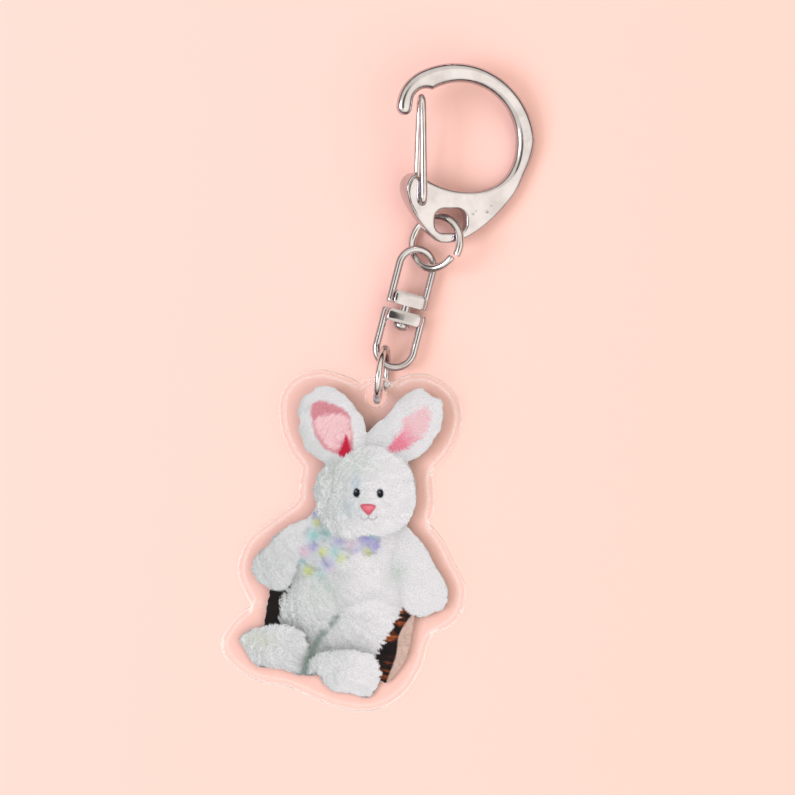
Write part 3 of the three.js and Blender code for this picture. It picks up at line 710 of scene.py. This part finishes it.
# The snap hook.
hook = {
    "at": (12.7, 27.9, 3.3), "pitch": 7, "roll": 15.5, "half": 1.2, "rim": 1.12, "wall": 0.22,
    "slotCorner": 1.7, "slot": (-2.95, 2.8, 0.55, 4.8),
    "outer": (0.93, 15.1, 14.62), "inner": (1.8, 16.1, 10.33), "nose": (-8.15, 22.1, 1.3),
    "noseBack": [(-9.45, 24.8), (-7.7, 27.2)], "noseFront": [(-4.7, 25.7), (-6.2, 25.0), (-6.65, 23.6)],
    # the plate from the end of the bow to the gate's horn and back: each row bends on from the last one's end
    "plate": [[(15.2, 10.6), (9.2, 3.2), (3.6, 0.1)], [(1.6, -1.0), (-1.1, -1.5), (-2.3, -0.8)],
              [(-4.7, 0.9), (-6.4, 3.4), (-7.3, 5.6)], [(-8.1, 7.8), (-8.0, 9.6), (-7.2, 10.4)],
              [(-6.4, 10.9), (-5.2, 10.4), (-4, 9.7)], [(-0.6, 7.6), (3.4, 7.6)], [(8, 7.5), (11.3, 10)]],
    # the ear beside the gate's foot: the middle line of its wall, then half its thickness and height
    "earLine": [(-6.5, 10.5), (-7.3, 10.25), (-7.95, 9.3), (-8.1, 8.1), (-7.8, 6.8), (-7.3, 5.6), (-6.2, 3.8),
                (-4.7, 2.0), (-3.4, 0.6)],
    "earWall": 0.5, "earHeight": [2.2, 2.4, 2.5, 2.5, 2.3, 1.8, 1.3, 1.1, 1.0],
}
hookTurns = [turned("y", hook["roll"]), turned("x", hook["pitch"])]


def arc(circle, start, end, count=60):
    angle = np.radians(np.linspace(start, end, count))
    return np.stack([circle[0] + circle[2] * np.cos(angle), circle[1] + circle[2] * np.sin(angle)], axis=1)


def bezier(*controls, count=24):
    # A curve of the second or third degree between its first and last control points.
    t, n = np.linspace(0, 1, count)[:, None], len(controls) - 1
    return sum(math.comb(n, i) * t**i * (1 - t) ** (n - i) * np.asarray(control, float)
               for i, control in enumerate(controls))


def hookOutline():
    # The bow, the plate with its horn beside the gate, and the nose that the gate closes against.
    outer, inner = arc(hook["outer"], 115, 6), arc(hook["inner"], -10, 119)
    nose = arc(hook["nose"], 0, -180, 20)
    runs = [bezier(nose[-1], *hook["noseBack"], outer[0]), outer]
    for controls in hook["plate"][:-1]:
        runs.append(bezier(runs[-1][-1], *controls))
    runs += [bezier(runs[-1][-1], *hook["plate"][-1], inner[0]), inner,
             bezier(inner[-1], *hook["noseFront"]), nose]
    return np.vstack([run[:-1] for run in runs])


def slotOutline():
    left, right, bottom, top = hook["slot"]
    c = hook["slotCorner"]
    corners = ((right - c, bottom + c, -90), (right - c, top - c, 0),
               (left + c, top - c, 90), (left + c, bottom + c, 180))
    return np.vstack([arc((x, y, c), start, start + 90, 12) for x, y, start in corners])


hookShell = Shell().plate([hookOutline(), slotOutline()], hook["half"], hook["rim"], hook["wall"], 0.16, 0.5,
                          squareness=lambda flat: softStep(11.5, 7.0, flat[:, 1]))
earLine = smoothRun([(x, y, 0, height) for (x, y), height in zip(hook["earLine"], hook["earHeight"])], 8)
hookShell.sweep(earLine[:, :3], hook["earWall"], (0, 0, 1), flatten=earLine[:, 3] / hook["earWall"], sides=28)
hookShell.build("hookBody", hook["at"], hookTurns, castNickel, "hook", "cast_nickel", "hook_body")

# The gate: a hairpin of spring wire.
gate = {"at": (-5.3, 5.95, 0), "reach": 17.9, "wire": 1.24, "footSpread": 2.2}


def gatePath():
    side = [(0, 0, 0.4), (0, 0.05, 1.7), (0.0, 0.8, gate["footSpread"]), (0.05, 4.0, 2.05), (0.12, 10.5, 1.5),
            (0.2, gate["reach"] - 1.6, 0.85), (0.22, gate["reach"] - 0.6, 0.6)]
    other = [(x, y, -z) for x, y, z in side[::-1]]
    return smoothRun([*side, (0.22, gate["reach"], 0), *other], 14, power=0.5) + np.array(gate["at"])


Shell().sweep(gatePath(), gate["wire"] / 2, (1, 0, 0), sides=24).build(
    "hookGate", hook["at"], hookTurns, brightWire, "gate", "bright_wire", "hook_gate")

# The jump rings.
jumpRings = {
    "diameter": 9.2, "gap": 5.5,
    "upper": {"wire": 1.4, "at": (10.3, 26.8, 3.3), "rise": 31, "towards": -15, "gapAt": -20, "step": 1.1},
    "lower": {"wire": 1.24, "at": (1, 3.85, 5.22), "rise": -85.1, "towards": -5.8, "gapAt": -33, "step": -1},
}


def openRing(ring):
    # A circle of wire whose two ends are a few degrees apart and stepped sideways. Close to each end
    # the cutters have pinched the wire.
    t = np.concatenate([[0, 0.0015, 0.004], np.linspace(0.008, 0.992, 110), [0.996, 0.9985, 1]])
    angle = np.radians(ring["gapAt"] + jumpRings["gap"] / 2 + t * (360 - jumpRings["gap"]))
    radius = jumpRings["diameter"] / 2
    path = np.stack([radius * np.cos(angle), radius * np.sin(angle), ring["step"] * (t - 0.5)], axis=1)
    end = np.minimum(t, 1 - t) * 360
    pinch = 1 - 0.10 * np.exp(-((end / 3.0) ** 2)) - 0.12 * (end < 0.3)
    return path, ring["wire"] / 2 * pinch


for key in ("upper", "lower"):
    ring = jumpRings[key]
    path, radius = openRing(ring)
    Shell().sweep(path, radius, (0, 0, 1), sides=28).build(
        f"{key}JumpRing", ring["at"], [turned("y", -ring["rise"]), turned("z", ring["towards"])],
        brightWire, f"{key}_ring", "bright_wire", f"{key}_jump_ring", sharp=50)

# The swivel and its rivet.
swivel = {
    "at": (5.05, 15.2, 2.5), "turn": -14.5, "wire": 1.33,
    "upper": {"half": 3.08, "bottom": 0.6, "top": 2.9, "apex": 10.7, "roll": 16},
    "lower": {"half": 3.3, "bottom": 0.38, "top": 2.48, "apex": 10.25, "roll": 8},
    # the bar's section: a flattened crown with a facet down to each leg
    "barSection": [(0.0, 1.0), (0.5, 0.98), (0.78, 0.92), (0.87, 0.80), (0.985, 0.40), (1.0, 0.2)],
    "rivet": [(0, -3.8), (0.5, -3.77), (0.93, -3.65), (1.25, -3.4), (1.4, -3.1), (1.44, -2.85), (1.4, -2.62),
              (1.3, -2.55), (0.75, -2.55), (0.75, -0.4), (0.95, -0.4), (0.95, 0.5), (0.75, 0.5), (0.75, 2.9),
              (0, 2.9)],
}


def barSection(halfWidth, halfDepth):
    # One quarter of the section, carried to the other three by changing signs.
    quarter = evenly(smoothRun(swivel["barSection"], 4), 0.05, closed=False) * (halfWidth, halfDepth)
    right = np.vstack([quarter, (quarter * (1, -1))[::-1]])
    return np.vstack([right, right[::-1][1:-1] * (-1, 1)])


def swivelHalf(size, sign):
    # A U of wire whose legs run down beside the bar to its far face, and the bar between them.
    w, archStart = size["half"] + 0.03, size["apex"] - size["half"]
    angle = np.radians(np.linspace(180, 0, 60))
    arch = np.stack([w * np.cos(angle), archStart + w * np.sin(angle)], axis=1)
    leg = np.linspace(size["bottom"] + 0.02, archStart, 24, endpoint=False)
    right = np.column_stack([np.full(24, w), leg[::-1]])
    path = np.vstack([right[::-1] * (-1, 1), arch, right])
    path = np.column_stack([path, np.zeros(len(path))])
    fromEnd = np.minimum(np.arange(len(path)), np.arange(len(path))[::-1])
    radius = swivel["wire"] / 2 * (1 - 0.25 * (fromEnd == 0))
    shell = Shell().sweep(path * (1, sign, 1), radius, (0, 0, 1), sides=24)
    ends = np.linspace(size["bottom"], size["top"], 9)
    shrink = 1 - 0.06 * np.abs(np.linspace(-1, 1, 9)) ** 8 - 0.02 * np.linspace(-1, 1, 9) ** 2
    shell.loft(barSection(w + 0.12, 1.62), ends, shrink)
    if sign < 0:  # the lower half is the upper one turned half round, not mirrored
        shell.points[-1] = shell.points[-1] * (-1, -1, 1)
    return shell


for key, sign in (("upper", 1), ("lower", -1)):
    turns = [turned("y", swivel[key]["roll"]), turned("z", swivel["turn"])]
    swivelHalf(swivel[key], sign).build(
        f"swivel{key.title()}Loop", swivel["at"], turns,
        castNickel, f"{key}_loop", "cast_nickel", f"swivel_{key}_loop", sharp=38)
Shell().revolve(swivel["rivet"]).build(
    "swivelRivet", swivel["at"], turns[1:], castNickel, "upper_loop", "cast_nickel", "swivel_rivet", sharp=50)
print("metal built")


def writeAttribute(piece, name, kind, key, values):
    attribute = piece.data.attributes.new(name, kind, "POINT")
    attribute.data.foreach_set(key, values.astype(np.float32).ravel())


def clearAcrylic():
    # Clear glass-like plastic that lets lamplight through. A pale diffuse is mixed in along its cut edge: a
    # painted light line at the edge, and a fainter painted line a millimetre inside it where the edge shows
    # through the plate.
    material, tree, shader, place = newMaterial("clearAcrylic")
    marks = handled(tree, place, 90.0, 420.0, 0.0, 0.02)
    feed(tree, shader, {"Base Color": (1, 1, 1, 1), "Transmission Weight": 1.0, "IOR": 1.49,
                        "Roughness": marks["Roughness"], "Normal": bump(tree, marks["Height"], 0.000002, 0.3)})
    # Painted light lines: where this attribute is high, a pale diffuse takes over from the clear plastic.
    cut = addNode(tree, "ShaderNodeAttribute", attribute_name="paintedEdgeLines").outputs["Fac"]
    paintedLineShader = addNode(tree, "ShaderNodeBsdfDiffuse", {"Color": (0.86, 0.80, 0.79, 1)}).outputs[0]
    through = addNode(tree, "ShaderNodeBsdfTransparent", {"Color": (0.995, 0.99, 0.988, 1)}).outputs[0]
    ray = tree.nodes.new("ShaderNodeLightPath").outputs
    lamplight = arithmetic(tree, "MAXIMUM", ray["Is Shadow Ray"], ray["Is Diffuse Ray"])
    body = addNode(tree, "ShaderNodeMixShader", {"Fac": cut, 1: shader.outputs[0], 2: paintedLineShader}).outputs[0]
    either = addNode(tree, "ShaderNodeMixShader", {"Fac": lamplight, 1: body, 2: through}).outputs[0]
    feed(tree, tree.nodes["output"], {"Surface": either})
    return material


acrylic = clearAcrylic()
charmHole = arc((0, 0, charm["hole"] / 2), 0, 360, 73)[:-1]


def charmSheet(name, low, high, polish, node):
    middle, half = (low + high) / 2, (high - low) / 2
    shell = Shell().plate([charmEdge, charmHole], half, polish, half - polish, 0.3, 3.0, middle,
                          rows=[row / polish for row in charm["edgeRows"]])
    sheet = shell.build(name, charm["at"], charmTurns, acrylic, "charm", "clear_acrylic", node, sharp=60)
    inside = np.maximum(distanceInside(np.vstack(shell.points)[:, :2], [charmEdge]), 0)
    # Painted light lines: a strong one along the cut edge, and a fainter one inside it where the edge shows
    # through the plate.
    line, step = charm["edgeLineWidth"], charm["innerLineInset"]
    cut = 0.46 * np.exp(-(inside / line) ** 2) + 0.12 * np.exp(-((inside - step) / line) ** 2)
    writeAttribute(sheet, "paintedEdgeLines", "FLOAT", "value", cut)


charmSheet("charmPlate", charm["plateBottom"], charm["top"], charm["polish"], "charm_acrylic_plate")
charmSheet("charmBackFilm", 0.0, charm["filmTop"], 0.05, "charm_back_film")

# The inks behind the clear plate. The outline shares the tips of the ears with the picture's shapes.
pictureOutline = [
    (-8.9, -11.5), (-11, -10.1), (-12.2, -8.9), (-12.9, -7.1), (-13.5, -5.1), (-13.1, -4.1), (-13.6, -2.4),
    (-13.3, -1.5), *pictureShapes["leftEar"][6:15], (-1.7, -6), *pictureShapes["rightEar"][1:10],
    (11.4, -0.7), (11.6, -2.6), (11.4, -4.4), (11.1, -5.9), (10.3, -6.8), (9.7, -8), (8.5, -9.5),
    (7.3, -10.3), (6.4, -10.9), (5.5, -11.3), (6.3, -13), (6.7, -14.5), (6.9, -16.4), (7, -17.9),
    (6.7, -19.4), (6.1, -20.9), (5.4, -22.2), (5.7, -22.9), (6.7, -23.9), (8.2, -25.5), (9.1, -27),
    (10, -28.9), (10.9, -30.4), (11.8, -31.7), (12.3, -33.1), (12.4, -34.9), (12.1, -36.1), (11.4, -37),
    (10, -37.5), (8.5, -38.2), (7.6, -38.4), (6.8, -38.1), (6.2, -41), (5.7, -44.1), (5.4, -45.1), (4, -47.4),
    (2.3, -49.5), (1.7, -49.8), (0.6, -49.6), (-0.3, -51.3), (-0.9, -52), (-1.8, -52.4), (-5, -51.6),
    (-7.4, -51.3), (-8.9, -50.1), (-9.8, -48.9), (-10.5, -48.2), (-11.3, -48.6), (-14, -48.3), (-16.2, -47.4),
    (-18.6, -47.2), (-20.4, -46.9), (-21.6, -46.2), (-22.3, -45), (-23.1, -43.7), (-23.8, -42.4),
    (-23.1, -41.3), (-21.3, -40.3), (-19.6, -39.8), (-19.1, -37), (-18.5, -33.6), (-18.9, -33.1),
    (-20.4, -32.2), (-21.3, -31), (-21.6, -29.8), (-21.3, -28.2), (-20.1, -26.7), (-18.9, -25.8),
    (-17.7, -24.2), (-15.5, -22.5), (-13.4, -21.5), (-11.6, -20.7), (-10.5, -19.1), (-10.7, -17.6),
    (-10.9, -15.9), (-10.1, -13.4)]


def furryOutline():
    # The picture's outline, with tufts of fur pushed a little in and out along its normal.
    spacing = 0.12
    loop = evenly(smoothRun(pictureOutline, 8, closed=True), spacing)
    along = np.arange(len(loop)) * spacing
    tuft = 0.12 * softNoise(along / 0.5, along * 0, 71) + 0.08 * softNoise(along / 0.22, along * 0, 72)
    block = (loop[:, 0] > 1.5) & (loop[:, 1] < -38.4)
    return loop + normals(loop) * (tuft * np.where(block, 0.2, 1.0))[:, None]


def printedInk():
    # Ink under the clear plate: the painted colours, broken by the fine grain of the print.
    material, tree, shader, place = newMaterial("pictureInk")
    painted = addNode(tree, "ShaderNodeAttribute", attribute_name="picture").outputs["Color"]
    specks = ramp(tree, noise(tree, place, 5200.0, 2.0), [(0.32, 0.84), (0.5, 0.985), (0.7, 1.12)])
    feed(tree, shader, {"Base Color": mixColour(tree, 1.0, painted, specks, "MULTIPLY"),
                        "Roughness": 0.6, "Specular IOR Level": 0.1})
    return material


def whiteInk():
    # The white layer behind the picture, a little thicker and thinner in the passes of the printer.
    material, tree, shader, place = newMaterial("whiteInk")
    passes = addNode(tree, "ShaderNodeMapping", {"Vector": place, "Scale": (1, 0.05, 1)}).outputs[0]
    uneven = noise(tree, passes, 2600.0, 2.0)
    feed(tree, shader, {"Base Color": mixColour(tree, uneven, (0.80, 0.80, 0.79, 1), (0.90, 0.90, 0.89, 1)),
                        "Roughness": 0.5, "Normal": bump(tree, uneven, 0.000004, 0.5)})
    return material


inkBrightness = 0.87
furLoop = furryOutline()
flat, triangles = filledLoops([furLoop], (), 0.21)[:2]
picture = Shell().layers(flat, triangles, charm["inkHigh"], charm["inkLow"]).build(
    "charmPicture", charm["at"], charmTurns, printedInk(), "charm", "picture_ink", "charm_picture_ink",
    sharp=60)
painted = paintPicture(flat[:, 0], flat[:, 1]) / 255
painted = np.where(painted <= 0.04045, painted / 12.92, ((painted + 0.055) / 1.055) ** 2.4) * inkBrightness
painted = np.vstack([painted, painted])  # the upper and the lower sheet
writeAttribute(picture, "picture", "FLOAT_COLOR", "color", np.column_stack([painted, np.ones(len(painted))]))

whiteFlat, whiteTriangles = filledLoops([evenly(furLoop, 0.4)], (), 3.0)[:2]
Shell().layers(whiteFlat, whiteTriangles, charm["whiteHigh"], charm["whiteLow"]).build(
    "charmWhiteInk", charm["at"], charmTurns, whiteInk(), "charm", "white_ink", "charm_white_ink", sharp=60)
print("charm built")


def paperMaterial():
    # Pale pink card with a fine tooth, with painted shade: drawn a little deeper in colour towards the lower
    # right, away from the key light.
    material, tree, shader, place = newMaterial("paleCard")
    across = addNode(tree, "ShaderNodeSeparateXYZ", {"Vector": place}).outputs
    # Painted shade: the mix leans towards the deeper colour to the right and downwards, away from the key
    # light.
    lean = arithmetic(tree, "ADD", arithmetic(tree, "MULTIPLY", across["X"], 3.0),
                      arithmetic(tree, "MULTIPLY", across["Y"], -1.5))
    red, green, blue = studio["floorColour"]
    pale, deep = (red, green * 1.01, blue * 1.025, 1), (red, green * 0.985, blue * 0.96, 1)
    feed(tree, shader, {"Base Color": mixColour(tree, arithmetic(tree, "ADD", lean, 0.5), pale, deep),
                        "Normal": bump(tree, noise(tree, place, 1500.0, 3.0), 0.00002, 0.2),
                        "Roughness": 0.9, "Specular IOR Level": 0.1})
    return material


half, low = studio["floorSize"] / 2, -studio["floorDrop"]
floorMesh = bpy.data.meshes.new("floor")
floorMesh.from_pydata([(-half, -half, low), (half, -half, low), (half, half, low), (-half, half, low)],
                      [], [(0, 1, 2, 3)])
floorMesh.materials.append(paperMaterial())
newObject("floor", floorMesh)

sky = scene.world = bpy.data.worlds.new("studio")
sky.use_nodes = True
skyTree = sky.node_tree
skyTree.nodes.clear()
direction = skyTree.nodes.new("ShaderNodeTexCoord").outputs["Generated"]
height = addNode(skyTree, "ShaderNodeSeparateXYZ", {"Vector": direction}).outputs["Z"]
towards = addNode(skyTree, "ShaderNodeVectorMath", {
    0: direction, 1: Vector(studio["softboxTowards"]).normalized()}, operation="DOT_PRODUCT").outputs["Value"]
softbox = eased(skyTree, towards, studio["softboxRim"], (0.0, studio["softboxGain"]))
overhead = eased(skyTree, height, studio["cameraShade"], (1.0, studio["cameraShadeLeft"]))
glow = arithmetic(skyTree, "ADD", ramp(skyTree, height, studio["skyStops"]), softbox)
glow = arithmetic(skyTree, "MULTIPLY", arithmetic(skyTree, "MULTIPLY", glow, overhead), studio["skyStrength"])
tint = (*studio["skyTint"], 1)
light = addNode(skyTree, "ShaderNodeBackground", {"Color": tint, "Strength": glow}).outputs[0]
addNode(skyTree, "ShaderNodeOutputWorld", {"Surface": light})
print("floor and sky ready")
